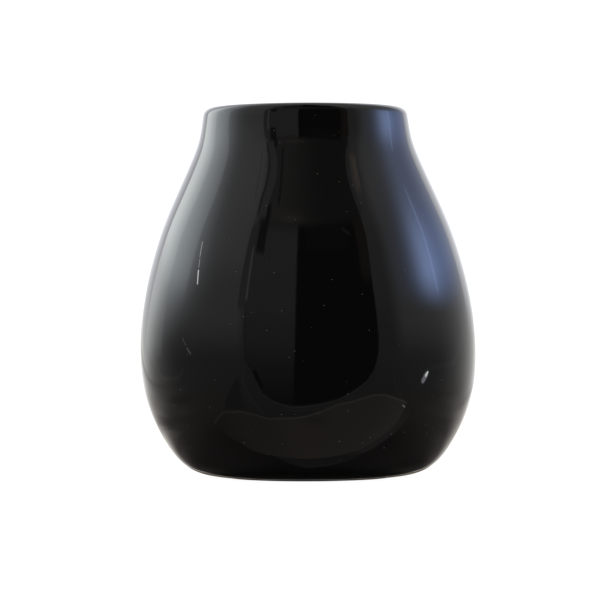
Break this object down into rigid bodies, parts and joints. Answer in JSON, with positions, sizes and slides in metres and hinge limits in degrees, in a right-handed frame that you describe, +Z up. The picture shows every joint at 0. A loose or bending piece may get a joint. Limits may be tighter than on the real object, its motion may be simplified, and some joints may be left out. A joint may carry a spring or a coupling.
{
  "type": "ceramic mate cup",
  "caption": "Gourd-shaped cup of black glazed stoneware for drinking mate: a full, low belly, sloping shoulders, a short upright neck with a rounded lip, and a small ring foot.",
  "frame": {"origin": "middle of the foot, on the surface that the cup stands on", "axes": "+Z up along the cup's axis of revolution; X and Y are level, and the picture looks along +Y"},
  "size_m": [0.091, 0.091, 0.1],
  "materials": {
    "glaze": "gloss black glaze, broken to brown on the lip, with a raw clay foot ring"
  },
  "bodies": {
    "root": {"cup": "glaze"}
  },
  "joints": []
}
